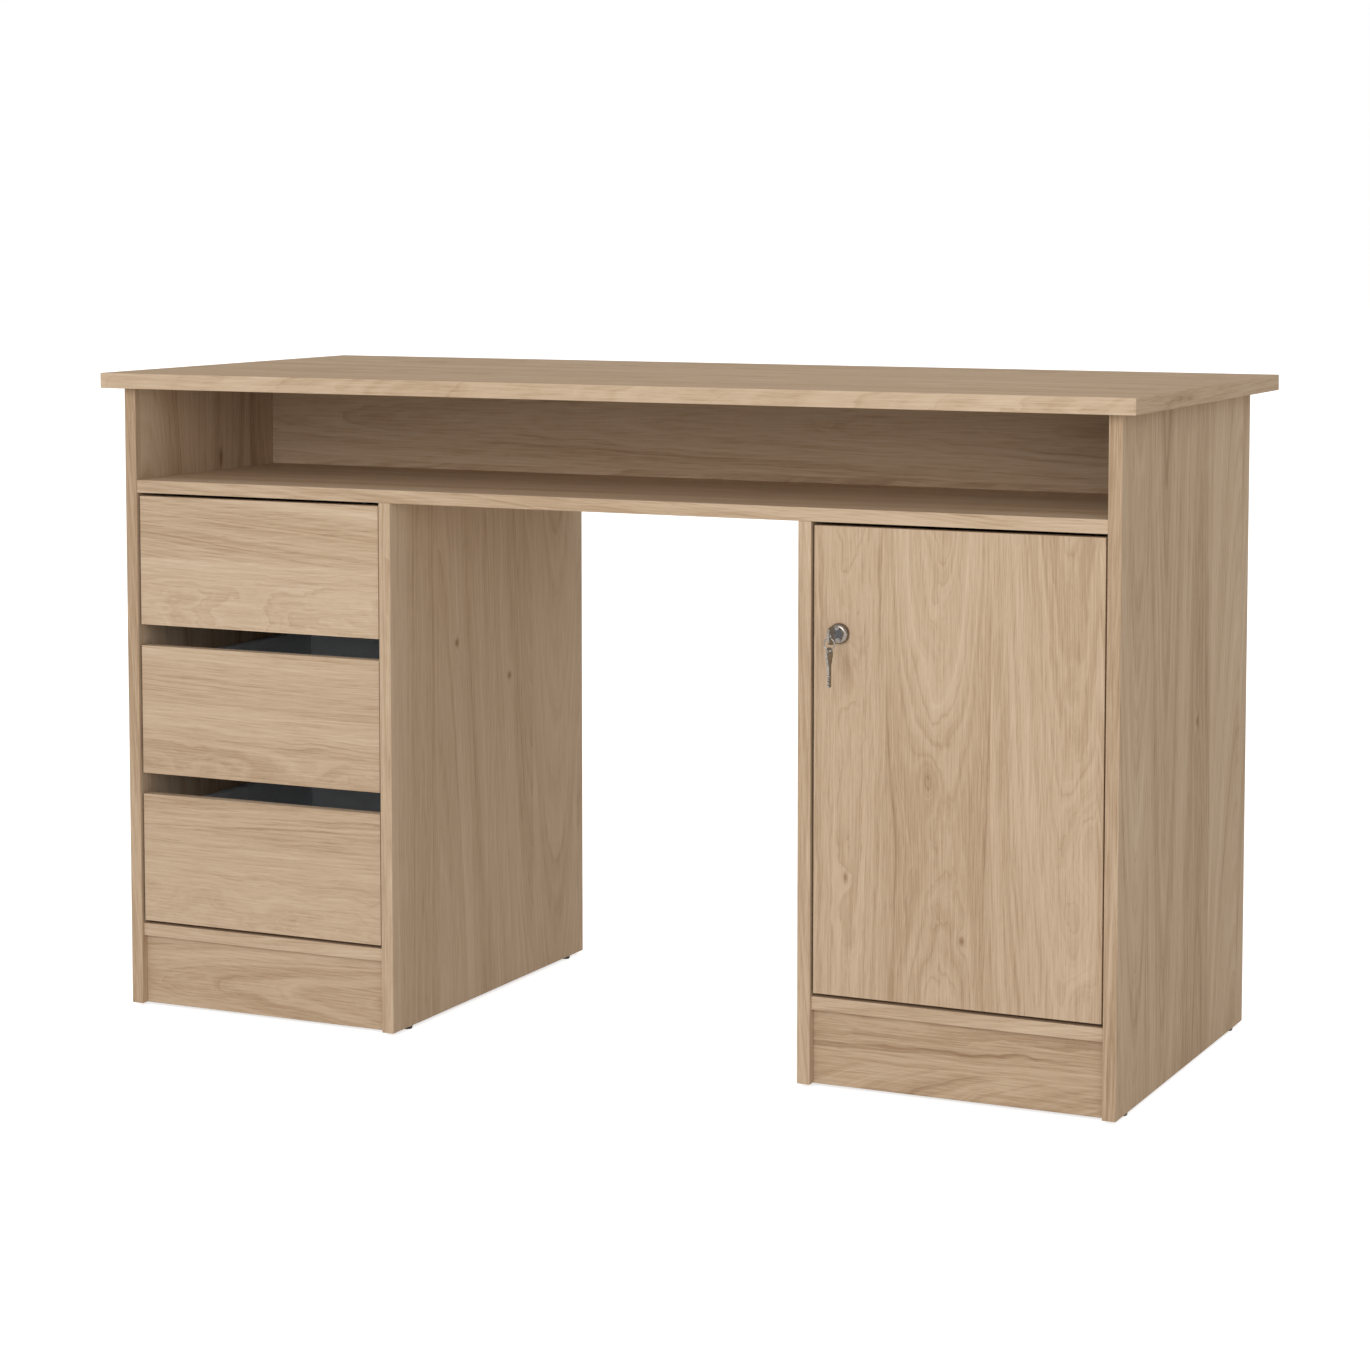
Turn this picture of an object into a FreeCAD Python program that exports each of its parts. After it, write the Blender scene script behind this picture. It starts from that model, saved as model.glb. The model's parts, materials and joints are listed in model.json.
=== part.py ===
import FreeCAD, Part
import os
import re
import Sketcher

# A pedestal desk of faced boards: a worktop on four uprights, a drawer unit on the left, a lockable
# cupboard on the right, a kneehole between them and an open compartment under the worktop.
# X runs to the right along the front, Y to the rear, Z up. The origin is on the floor, under the
# middle of the worktop. Every length is in millimetres.

SIZES = {
    # Worktop, uprights and the boards between them
    "desk_height": 760,
    "top_width": 1268,
    "top_depth": 550,
    "top_thick": 18,
    "board": 15,
    "side_overhang": 20,
    "front_overhang": 20,
    "rear_overhang": 50,
    "edge_radius": 0.6,
    "pedestal_width": 361,
    "compartment_height": 109,
    "compartment_depth": 299,
    "long_shelf_setback": 1,
    "base_setback": 4,
    "plinth_height": 82,
    "plinth_setback": 10,
    # Glides under the uprights
    "foot_height": 4,
    "foot_radius": 6.5,
    "foot_bevel": 1,
    "foot_pin_radius": 2,
    "foot_pin_length": 14,
    "foot_front_inset": 45,
    "foot_rear_inset": 35,
    # Thin backs in grooves
    "back_thick": 3,
    "back_groove_depth": 6,
    "back_inset": 12,
    "back_floor_gap": 10,
    # Fits shared by all pieces
    "fit_gap": 0.1,
    "running_gap": 0.06,
    "slide_gap": 0.3,
    "overrun": 1,
    # Drawer fronts and door
    "front_setback": 3,
    "front_side_gap": 2.5,
    "front_edge_gap": 4,
    "finger_gap": 25,
    # Drawer boxes
    "drawer_board": 12,
    "drawer_length": 340,
    "drawer_side_drop": 20,
    "drawer_side_rise": 22,
    "drawer_bottom_thick": 3,
    "drawer_groove_depth": 5,
    "drawer_groove_rise": 10,
    # Roller runners
    "runner_space": 12.5,
    "rail_sheet": 1.2,
    "rail_reach": 10,
    "rail_lip": 9,
    "rail_lip_gap": 0.4,
    "rail_flange_start": 3,
    "rail_foot_reach": 10,
    "rail_front_inset": 20,
    "rail_length": 350,
    "roller_radius": 7.5,
    "roller_start": 3.2,
    "roller_width": 6.8,
    "roller_pin_radius": 2.5,
    "roller_pin_end": 10.4,
    "roller_pin_start": 2.8,
    "cabinet_roller_inset": 12,
    "drawer_roller_inset": 10,
    "rail_screw_inset": 45,
    # Wood screws
    "screw_radius": 1.75,
    "screw_length": 10,
    "screw_head_radius": 3,
    "screw_head": 1.5,
    # Cam fittings and dowels of the carcass
    "bolt_radius": 3.5,
    "bolt_thread": 11,
    "cam_reach": 24,
    "cam_radius": 7.5,
    "cam_height": 12.5,
    "recess_length": 8,
    "recess_width": 1.4,
    "recess_depth": 2,
    "dowel_radius": 4,
    "dowel_face_depth": 10,
    "dowel_edge_depth": 20,
    "back_cam_inset": 150,
    "shelf_cam_inset": 70,
    "upright_cam_inset": 100,
    "base_cam_inset": 70,
    "top_dowel_inset": 60,
    "top_dowel_spacing": 140,
    "back_dowel_inset": 300,
    "plinth_dowel_inset": 18,
    # Cam fittings of the drawers
    "drawer_bolt_radius": 2.5,
    "drawer_bolt_thread": 10,
    "drawer_cam_reach": 20,
    "drawer_cam_radius": 6,
    "drawer_cam_height": 9.5,
    # Cupboard shelf on pins
    "cupboard_shelf_setback": 25,
    "cupboard_shelf_rear_gap": 5,
    "cupboard_shelf_side_gap": 1,
    "shelf_pin_radius": 2.5,
    "shelf_pin_length": 16,
    "shelf_pin_depth": 8,
    "shelf_pin_inset": 60,
    "shelf_hole_pitch": 32,
    # Cup hinges
    "hinge_end_gap": 80,
    "hinge_pin_inset": 9,
    "hinge_pin_depth": 6.5,
    "hinge_pin_radius": 1.4,
    "hinge_pin_end_gap": 0.3,
    "hinge_eye_radius": 2.2,
    "hinge_cup_edge": 5,
    "hinge_cup_radius": 17.5,
    "hinge_cup_depth": 12,
    "hinge_cup_wall": 1,
    "hinge_cup_floor": 0.6,
    "hinge_flange": 1.2,
    "hinge_flange_half": 29,
    "hinge_flange_width": 22,
    "hinge_lip": 1.5,
    "hinge_cup_screw_spacing": 48,
    "hinge_arm_half": 4,
    "hinge_arm_sheet": 3,
    "hinge_arm_rise_inset": 20.5,
    "hinge_arm_cross_depth": 25,
    "hinge_arm_end": 85,
    "hinge_plate_sheet": 3,
    "hinge_plate_front": 28,
    "hinge_plate_width": 50,
    "hinge_plate_half": 24,
    "hinge_plate_screw_depth": 38,
    "hinge_plate_screw_spacing": 34,
    "hinge_arm_screw_depth": 60,
    "hinge_arm_screw_length": 9,
    # Cam lock, strike and keys
    "lock_inset": 30,
    "lock_drop": 115,
    "rosette_radius": 11.3,
    "rosette_proud": 7,
    "rosette_round": 4.5,
    "barrel_radius": 9,
    "barrel_behind": 8,
    "plug_radius": 5.5,
    "tongue_sheet": 2.5,
    "tongue_half": 6,
    "tongue_length": 29,
    "tongue_hub_radius": 7,
    "strike_sheet": 1.5,
    "strike_gap": 4,
    "strike_reach": 13,
    "strike_depth": 28,
    "strike_half": 15,
    "strike_screw_depth": 20,
    "strike_screw_spacing": 16,
    "key_sheet": 2,
    "key_blade_half": 3.4,
    "key_blade_length": 15,
    "key_slot_gap": 0.5,
    "key_bow_radius": 10,
    "key_hole_radius": 3,
    "key_hole_reach": 22,
    "key_hole_rim": 4,
    "key_neck_half": 4,
    "key_notch_radius": 1.6,
    "key_notch_pitch": 4,
    "ring_radius": 6,
    "ring_wire": 0.7,
    "spare_bow_radius": 8,
    "spare_rim": 1.4,
    "spare_shoulder_radius": 6,
    "spare_shoulder_drop": 6,
    "spare_blade_length": 23,
}

LEVELS = ("bottom", "middle", "top")
DRAWERS = len(LEVELS)

PLACES = {
    # Across the desk
    "outer_face": "top_width / 2 - side_overhang",
    "outer_inside": "outer_face - board",
    "knee_face": "outer_face - pedestal_width",
    "bay_inside": "knee_face + board",
    # From front to rear
    "panel_front": "front_overhang - top_depth / 2",
    "panel_rear": "top_depth / 2 - rear_overhang",
    "back_rear": "panel_rear - back_inset",
    "back_front": "back_rear - back_thick",
    "divider_front": "panel_front + compartment_depth",
    "divider_rear": "divider_front + board",
    "divider_middle": "divider_front + board / 2",
    "niche_cam_inset": "(panel_rear - divider_rear) / 4",
    "front_face": "panel_front + front_setback",
    "front_inside": "front_face + board",
    "plinth_front": "panel_front + plinth_setback",
    "plinth_middle": "plinth_front + board / 2",
    # Upwards
    "top_under": "desk_height - top_thick",
    "long_shelf_top": "top_under - compartment_height",
    "long_shelf_under": "long_shelf_top - board",
    "base_under": "foot_height + plinth_height",
    "base_top": "base_under + board",
    "bay_height": "long_shelf_under - base_top",
    "drawer_front_height":
        f"(bay_height - 2 * front_edge_gap - {DRAWERS - 1} * finger_gap) / {DRAWERS}",
    "door_low": "base_top + front_edge_gap",
    "door_high": "long_shelf_under - front_edge_gap",
    "cupboard_shelf_under": "base_top + (bay_height - board) / 2",
    # Drawer box and runners, measured from the bay's walls and the drawer side's lower edge
    "drawer_rear": "front_inside + drawer_length",
    "drawer_side_height": "drawer_front_height - drawer_side_rise - drawer_side_drop",
    "drawer_cam_inset": "(drawer_side_height - drawer_groove_rise - drawer_bottom_thick) / 4",
    "axle_rise": "slide_gap + roller_radius",
    "flange_rise": "axle_rise + roller_radius + slide_gap",
    "lip_rise": "flange_rise + rail_sheet + rail_lip_gap",
    "rail_front": "panel_front + rail_front_inset",
    "rail_rear": "rail_front + rail_length",
    "cabinet_axle": "rail_front + cabinet_roller_inset",
    "drawer_axle": "drawer_rear - drawer_roller_inset",
    # Hinges, from the door's hinged edge inwards and from its front face to the rear
    "hinge_edge": "outer_inside - front_side_gap",
    "lower_hinge": "door_low + hinge_end_gap",
    "upper_hinge": "door_high - hinge_end_gap",
    "hinge_axis": "hinge_edge - hinge_pin_inset",
    "hinge_pin_back": "front_face + hinge_pin_depth",
    "hinge_cup_centre": "hinge_edge - hinge_cup_edge - hinge_cup_radius",
    "hinge_pin_offset": "hinge_cup_edge + hinge_cup_radius - hinge_pin_inset + hinge_pin_radius",
    "hinge_pin_half": "sqrt(hinge_cup_radius ^ 2 - hinge_pin_offset ^ 2) - hinge_pin_end_gap",
    # Lock, key ring and spare key
    "lock_axis": "bay_inside + front_side_gap + lock_inset",
    "lock_height": "door_high - lock_drop",
    "rosette_front": "front_face - rosette_proud",
    "barrel_rear": "front_inside + barrel_behind",
    "tongue_front": "barrel_rear + slide_gap",
    "strike_front": "front_inside + strike_gap",
    "key_hole_front": "rosette_front - key_hole_reach",
    "key_bow_front": "key_hole_front - key_hole_rim + key_bow_radius",
    "ring_top": "lock_height - key_hole_radius + ring_wire + slide_gap",
    "ring_centre": "ring_top - ring_radius",
    "ring_bottom": "ring_centre - ring_radius",
    "spare_hole": "ring_bottom - key_hole_radius + ring_wire + slide_gap",
    "spare_bow": "spare_hole + key_hole_radius + spare_rim - spare_bow_radius",
}
for count, level in enumerate(LEVELS):
    PLACES[f"{level}_low"] = f"base_top + front_edge_gap + {count} * (drawer_front_height + finger_gap)"
    PLACES[f"{level}_side_low"] = f"{level}_low + drawer_side_rise"
    PLACES[f"{level}_side_high"] = f"{level}_side_low + drawer_side_height"
    PLACES[f"{level}_groove"] = f"{level}_side_low + drawer_groove_rise"

# The way a cylinder, standing along +Z, is turned to lie along each direction
TURNS = {
    "+x": FreeCAD.Rotation(FreeCAD.Vector(0, 1, 0), 90),
    "-x": FreeCAD.Rotation(FreeCAD.Vector(0, 1, 0), -90),
    "+y": FreeCAD.Rotation(FreeCAD.Vector(1, 0, 0), -90),
    "-y": FreeCAD.Rotation(FreeCAD.Vector(1, 0, 0), 90),
    "+z": FreeCAD.Rotation(),
    "-z": FreeCAD.Rotation(FreeCAD.Vector(1, 0, 0), 180),
}

doc = FreeCAD.newDocument("office_desk")
nodes = []
holes = {}


def full(text):
    """The expression with each named size or place looked up where it is kept."""
    def look_up(match):
        word = match.group()
        if word in SIZES:
            return f"Sizes.{word}"
        if word in PLACES:
            return f"Places.{word}"
        return word
    return re.sub(r"[a-z][a-z_]*", look_up, text)


def make_sheet():
    """The driving sizes in a spreadsheet, and the places worked out from them."""
    sheet = doc.addObject("Spreadsheet::Sheet", "Sizes")
    for row, (alias, value) in enumerate(SIZES.items(), start=1):
        sheet.set(f"A{row}", alias)
        sheet.set(f"B{row}", str(value))
        sheet.setAlias(f"B{row}", alias)
    doc.recompute()
    places = doc.addObject("App::VarSet", "Places")
    for name in PLACES:
        places.addProperty("App::PropertyFloat", name, "Places")
    for name, text in PLACES.items():
        places.setExpression(name, full(text))
    doc.recompute()


def bind(item, sizes, at):
    """Ties an object's sizes and its place to expressions."""
    for name, text in sizes.items():
        item.setExpression(name, full(text))
    for axis, text in zip("xyz", at):
        item.setExpression(f"Placement.Base.{axis}", full(text))
    return item


def span(low, high):
    """A block from its lowest corner to its highest."""
    item = doc.addObject("Part::Box", "block")
    sides = [f"({end}) - ({start})" for start, end in zip(low, high)]
    return bind(item, dict(zip(("Length", "Width", "Height"), sides)), low)


def cylinder(radius, height, at, along="+z"):
    item = doc.addObject("Part::Cylinder", "cylinder")
    item.Placement = FreeCAD.Placement(FreeCAD.Vector(), TURNS[along])
    return bind(item, {"Radius": radius, "Height": height}, at)


def cone(low_radius, high_radius, height, at):
    item = doc.addObject("Part::Cone", "cone")
    return bind(item, {"Radius1": low_radius, "Radius2": high_radius, "Height": height}, at)


def fuse(items):
    item = doc.addObject("Part::MultiFuse", "joined")
    item.Shapes = items
    return item


def cut(base, tools):
    item = doc.addObject("Part::Cut", "cut")
    item.Base = base
    item.Tool = tools[0] if len(tools) == 1 else fuse(tools)
    return item


def group(items):
    """Separate solids that share one node."""
    item = doc.addObject("Part::Compound", "group")
    item.Links = items
    return item


def drill(node, tool):
    """Keeps a tool that is cut from a node when the node is published."""
    holes.setdefault(node, []).append(tool)


def publish(node, item):
    """Names the finished piece, with the holes that its neighbours asked for."""
    if node in holes:
        item = cut(item, holes.pop(node))
    item.Label = node
    nodes.append(item)


def flip(along):
    return ("-" if along[0] == "+" else "+") + along[1]


def shift(at, along, amount):
    """The point moved along a direction by an amount."""
    moved = list(at)
    axis = "xyz".index(along[1])
    moved[axis] = f"{at[axis]} {along[0]} ({amount})"
    return tuple(moved)


def bar(start, end, along, reaches):
    """A block from start to end along a direction, with a reach to each side on the other two axes."""
    axis = "xyz".index(along[1])
    first, last = (start, end) if along[0] == "+" else (end, start)
    low, high = list(first), list(last)
    others = [other for other in range(3) if other != axis]
    for other, reach in zip(others, reaches):
        low[other] = f"{first[other]} - ({reach})"
        high[other] = f"{last[other]} + ({reach})"
    return span(low, high)


def board(node, low, high):
    """A faced board: a rectangle sketched on the ground plane, padded up, with eased edges."""
    body = doc.addObject("PartDesign::Body", f"{node}_body")
    sketch = body.newObject("Sketcher::SketchObject", f"{node}_outline")
    plane = next(item for item in body.Origin.OriginFeatures if item.Role == "XY_Plane")
    sketch.AttachmentSupport = (plane, [""])
    sketch.MapMode = "FlatFace"
    corners = [FreeCAD.Vector(x, y, 0) for x, y in ((0, 0), (1, 0), (1, 1), (0, 1))]
    count = len(corners)
    for index in range(count):
        following = (index + 1) % count
        sketch.addGeometry(Part.LineSegment(corners[index], corners[following]))
    for index in range(count):
        following = (index + 1) % count
        sketch.addConstraint(Sketcher.Constraint("Coincident", index, 2, following, 1))
        level = "Horizontal" if index % 2 == 0 else "Vertical"
        sketch.addConstraint(Sketcher.Constraint(level, index))
    sketch.addConstraint(Sketcher.Constraint("Coincident", 0, 1, -1, 1))
    length = sketch.addConstraint(Sketcher.Constraint("DistanceX", 0, 1, 0, 2, 1))
    width = sketch.addConstraint(Sketcher.Constraint("DistanceY", 1, 1, 1, 2, 1))
    sides = [full(f"({end}) - ({start})") for start, end in zip(low, high)]
    sketch.setExpression(f"Constraints[{length}]", sides[0])
    sketch.setExpression(f"Constraints[{width}]", sides[1])
    pad = body.newObject("PartDesign::Pad", f"{node}_pad")
    pad.Profile = sketch
    pad.setExpression("Length", sides[2])
    easing = body.newObject("PartDesign::Fillet", f"{node}_easing")
    easing.Base = (pad, [""])
    easing.UseAllEdges = True
    easing.setExpression("Radius", full("edge_radius"))
    return bind(body, {}, low)


def screw(at, along, driven, length="screw_length"):
    """A wood screw with its head's underside at a point, driven along a direction through the nodes."""
    head = cylinder("screw_head_radius", "screw_head", shift(at, flip(along), "screw_head"), along)
    shank = cylinder("screw_radius", length, at, along)
    for node in driven:
        start = shift(at, flip(along), "overrun")
        depth = f"overrun + {length} + fit_gap"
        drill(node, cylinder("screw_radius + fit_gap", depth, start, along))
    return fuse([head, shank])


CARCASS_CAM = {
    "thickness": "board",
    "bolt": "bolt_radius",
    "thread": "bolt_thread",
    "reach": "cam_reach",
    "radius": "cam_radius",
    "height": "cam_height",
}
DRAWER_CAM = {
    "thickness": "drawer_board",
    "bolt": "drawer_bolt_radius",
    "thread": "drawer_bolt_thread",
    "reach": "drawer_cam_reach",
    "radius": "drawer_cam_radius",
    "height": "drawer_cam_height",
}


def cam_joint(kind, bolted, edged, at, along, open_to):
    """A bolt screwed into one board's face and the cam disc that holds it in the edge of the next.

    The point is where the bolt leaves the first board, along leads into the second board's edge, and
    the cam shows on the second board's face that looks the way of open_to. Returns the cam and the bolt.
    """
    bolt_hole = f"{kind['bolt']} + fit_gap"
    bolt_start = shift(at, flip(along), kind["thread"])
    bolt = cylinder(kind["bolt"], f"{kind['thread']} + {kind['reach']}", bolt_start, along)
    hole_start = shift(bolt_start, flip(along), "fit_gap")
    hole_length = f"{kind['thread']} + {kind['reach']} + 2 * fit_gap"
    drill(bolted, cylinder(bolt_hole, hole_length, hole_start, along))
    drill(edged, cylinder(bolt_hole, hole_length, hole_start, along))
    centre = shift(at, along, kind["reach"])
    face = shift(centre, open_to, f"{kind['thickness']} / 2")
    seat = shift(face, flip(open_to), kind["height"])
    disc = cylinder(kind["radius"], kind["height"], seat, open_to)
    bore_start = shift(seat, flip(open_to), "fit_gap")
    bore_length = f"{kind['height']} + fit_gap + overrun"
    drill(edged, cylinder(f"{kind['radius']} + fit_gap", bore_length, bore_start, open_to))
    recess_start = shift(face, flip(open_to), "recess_depth")
    recess_end = shift(face, open_to, "overrun")
    half_sizes = ("recess_length / 2", "recess_width / 2")
    recesses = [bar(recess_start, recess_end, open_to, halves) for halves in (half_sizes, half_sizes[::-1])]
    passage = cylinder(bolt_hole, hole_length, hole_start, along)
    return cut(disc, [passage] + recesses), bolt


def dowel(faced, edged, at, along):
    """A dowel that stands in one board's face and enters the edge of the next."""
    start = shift(at, flip(along), "dowel_face_depth")
    length = "dowel_face_depth + dowel_edge_depth"
    hole_start = shift(start, flip(along), "fit_gap")
    for node in (faced, edged):
        drill(node, cylinder("dowel_radius + fit_gap", f"{length} + 2 * fit_gap", hole_start, along))
    return cylinder("dowel_radius", length, start, along)


def across(wall, inward, near, far):
    """The lowest and highest x of what lies between two distances off a bay's wall."""
    ends = [f"{wall} {inward} ({distance})" for distance in (near, far)]
    return ends if inward == "+" else ends[::-1]


# Each side of the desk: its sign on X, the way to the middle and the way out
SIDES = {"left": ("-", "+x", "-x"), "right": ("", "-x", "+x")}
UNITS = {"left": "drawer_unit", "right": "cupboard"}
# The drawer bay's two walls: the upright's node, the wall's place and the way into the bay
BAY_WALLS = {
    "left": ("left_outer_panel", "-outer_inside", "+"),
    "right": ("left_inner_panel", "-bay_inside", "-"),
}


def unit_ends(side):
    """A pedestal's two uprights: the node, the x of its face in the bay and the way into the bay."""
    sign, inward, outward = SIDES[side]
    return (
        (f"{side}_outer_panel", f"{sign}outer_inside", inward),
        (f"{side}_inner_panel", f"{sign}bay_inside", outward),
    )


def unit_span(side):
    """The lowest and highest x between a pedestal's uprights."""
    return ("-outer_inside", "-bay_inside") if side == "left" else ("bay_inside", "outer_inside")


def carcass_fittings():
    """Cam fittings and dowels between the boards, each drilled into the boards that it joins."""
    cams, dowels = [], []
    middle = "(panel_front + panel_rear) / 2"
    base_middle = "(panel_front + back_front) / 2"
    for side, (sign, inward, outward) in SIDES.items():
        outer, inner = f"{side}_outer_panel", f"{side}_inner_panel"
        outer_middle = f"{sign}(outer_face - board / 2)"
        inner_middle = f"{sign}(knee_face + board / 2)"
        for y in ("divider_rear + niche_cam_inset", "panel_rear - niche_cam_inset"):
            head = (outer_middle, y, "top_under")
            cams.append(cam_joint(CARCASS_CAM, "tabletop", outer, head, "-z", inward))
        for y in ("panel_front + top_dowel_inset", "panel_front + top_dowel_inset + top_dowel_spacing"):
            dowels.append(dowel("tabletop", outer, (outer_middle, y, "top_under"), "-z"))
        end = (f"{sign}outer_inside", "divider_middle", "long_shelf_top + compartment_height / 2")
        cams.append(cam_joint(CARCASS_CAM, outer, "compartment_back", end, inward, "+y"))
        shelf_middle = "long_shelf_under + board / 2"
        for y in ("panel_front + shelf_cam_inset", "panel_rear - shelf_cam_inset"):
            end = (f"{sign}outer_inside", y, shelf_middle)
            cams.append(cam_joint(CARCASS_CAM, outer, "compartment_shelf", end, inward, "-z"))
        end = (f"{sign}outer_inside", middle, shelf_middle)
        dowels.append(dowel(outer, "compartment_shelf", end, inward))
        for y in ("panel_front + upright_cam_inset", "panel_rear - upright_cam_inset"):
            head = (inner_middle, y, "long_shelf_under")
            cams.append(cam_joint(CARCASS_CAM, "compartment_shelf", inner, head, "-z", outward))
        dowels.append(dowel("compartment_shelf", inner, (inner_middle, middle, "long_shelf_under"), "-z"))
        rest = (f"{sign}back_dowel_inset", "divider_middle", "long_shelf_top")
        dowels.append(dowel("compartment_shelf", "compartment_back", rest, "+z"))
        unit = UNITS[side]
        for upright, face, into_bay in unit_ends(side):
            for y in ("panel_front + base_cam_inset", "back_front - base_cam_inset"):
                end = (face, y, "base_under + board / 2")
                cams.append(cam_joint(CARCASS_CAM, upright, f"{unit}_bottom", end, into_bay, "-z"))
            end = (face, base_middle, "base_under + board / 2")
            dowels.append(dowel(upright, f"{unit}_bottom", end, into_bay))
            end = (face, "plinth_middle", "foot_height + plinth_height / 2")
            cams.append(cam_joint(CARCASS_CAM, upright, f"{unit}_plinth", end, into_bay, "+y"))
            end = (face, "plinth_middle", "foot_height + plinth_dowel_inset")
            dowels.append(dowel(upright, f"{unit}_plinth", end, into_bay))
    for x in ("back_cam_inset - outer_inside", "0", "outer_inside - back_cam_inset"):
        head = (x, "divider_middle", "top_under")
        cams.append(cam_joint(CARCASS_CAM, "tabletop", "compartment_back", head, "-z", "+y"))
    publish("cam_discs", group([disc for disc, bolt in cams]))
    publish("cam_bolts", group([bolt for disc, bolt in cams]))
    publish("wood_dowels", group(dowels))


def back_boards():
    """Thin backs of the two pedestals, in grooves of the uprights."""
    for side in SIDES:
        low_x, high_x = unit_span(side)
        low = (f"{low_x} - back_groove_depth + fit_gap", "back_front", "foot_height + back_floor_gap")
        high = (f"{high_x} + back_groove_depth - fit_gap", "back_rear", "long_shelf_under")
        for upright, face, into_bay in unit_ends(side):
            groove_x = across(face, into_bay[0], "-back_groove_depth", "overrun")
            groove_low = (groove_x[0], "back_front - fit_gap", "foot_height - overrun")
            drill(upright, span(groove_low, (groove_x[1], "back_rear + fit_gap", "long_shelf_under")))
        publish(f"{UNITS[side]}_back", span(low, high))


def glide_feet():
    """A plastic glide under the front and rear of each upright, with its pin in the board."""
    feet = []
    for side, (sign, inward, outward) in SIDES.items():
        for upright, x in (("outer", "(outer_face - board / 2)"), ("inner", "(knee_face + board / 2)")):
            for y in ("panel_front + foot_front_inset", "panel_rear - foot_rear_inset"):
                at = (f"{sign}{x}", y, "0")
                pad = cone("foot_radius - foot_bevel", "foot_radius", "foot_height", at)
                pin = cylinder("foot_pin_radius", "foot_height + foot_pin_length", at)
                depth = "foot_height + foot_pin_length + fit_gap"
                drill(f"{side}_{upright}_panel", cylinder("foot_pin_radius + fit_gap", depth, at))
                feet.append(fuse([pad, pin]))
    publish("glide_feet", group(feet))


def cupboard_shelf():
    """An adjustable shelf on four pins, with spare pin holes above and below."""
    pins = []
    for upright, face, into_bay in unit_ends("right"):
        for y in ("front_inside + shelf_pin_inset", "back_front - shelf_pin_inset"):
            for step in (-1, 0, 1):
                z = f"cupboard_shelf_under - shelf_pin_radius + {step} * shelf_hole_pitch"
                start = shift((face, y, z), flip(into_bay), "shelf_pin_depth")
                hole_start = shift(start, flip(into_bay), "fit_gap")
                depth = "shelf_pin_depth + fit_gap + overrun"
                drill(upright, cylinder("shelf_pin_radius + fit_gap", depth, hole_start, into_bay))
                if step == 0:
                    pins.append(cylinder("shelf_pin_radius", "shelf_pin_length", start, into_bay))
    publish("shelf_pins", group(pins))
    low = (
        "bay_inside + cupboard_shelf_side_gap",
        "front_inside + cupboard_shelf_setback",
        "cupboard_shelf_under",
    )
    high = (
        "outer_inside - cupboard_shelf_side_gap",
        "back_front - cupboard_shelf_rear_gap",
        "cupboard_shelf_under + board",
    )
    publish("cupboard_shelf", board("cupboard_shelf", low, high))


def cabinet_rail(level, wall, inward):
    """A channel on a bay's wall, with the pin of its front roller."""
    low_z = f"{level}_side_low - rail_sheet"
    high_z = f"{level}_side_low + lip_rise + rail_sheet"
    web_x = across(wall, inward, "0", "rail_sheet")
    floor_x = across(wall, inward, "0", "rail_reach")
    lip_x = across(wall, inward, "0", "rail_lip")
    web = span((web_x[0], "rail_front", low_z), (web_x[1], "rail_rear", high_z))
    floor = span((floor_x[0], "rail_front", low_z), (floor_x[1], "rail_rear", f"{level}_side_low"))
    lip = span((lip_x[0], "rail_front", f"{level}_side_low + lip_rise"), (lip_x[1], "rail_rear", high_z))
    pin_at = (wall, "cabinet_axle", f"{level}_side_low + axle_rise")
    pin = cylinder("roller_pin_radius", "roller_pin_end", pin_at, f"{inward}x")
    return fuse([web, floor, lip, pin])


def drawer_rail(level, wall, inward):
    """An angled rail on a drawer's side, with its running flange and the pin of its rear roller."""
    low_z = f"{level}_side_low - rail_sheet"
    flange_z = f"{level}_side_low + flange_rise"
    high_z = f"{flange_z} + rail_sheet"
    web_x = across(wall, inward, "runner_space - rail_sheet", "runner_space")
    flange_x = across(wall, inward, "rail_flange_start", "runner_space")
    foot_x = across(wall, inward, "runner_space - rail_sheet", "runner_space + rail_foot_reach")
    web = span((web_x[0], "front_inside", low_z), (web_x[1], "drawer_rear", high_z))
    flange = span((flange_x[0], "front_inside", flange_z), (flange_x[1], "drawer_rear", high_z))
    foot = span((foot_x[0], "front_inside", low_z), (foot_x[1], "drawer_rear", f"{level}_side_low"))
    pin_x = f"{wall} {inward} roller_pin_start"
    pin_at = (pin_x, "drawer_axle", f"{level}_side_low + axle_rise")
    pin = cylinder("roller_pin_radius", "runner_space - roller_pin_start", pin_at, f"{inward}x")
    return fuse([web, flange, foot, pin])


def roller(level, wall, inward, axle):
    """A nylon wheel that turns on a rail's pin."""
    at = (f"{wall} {inward} roller_start", axle, f"{level}_side_low + axle_rise")
    wheel = cylinder("roller_radius", "roller_width", at, f"{inward}x")
    return cut(wheel, [cylinder("roller_pin_radius + running_gap", "roller_width", at, f"{inward}x")])


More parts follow.
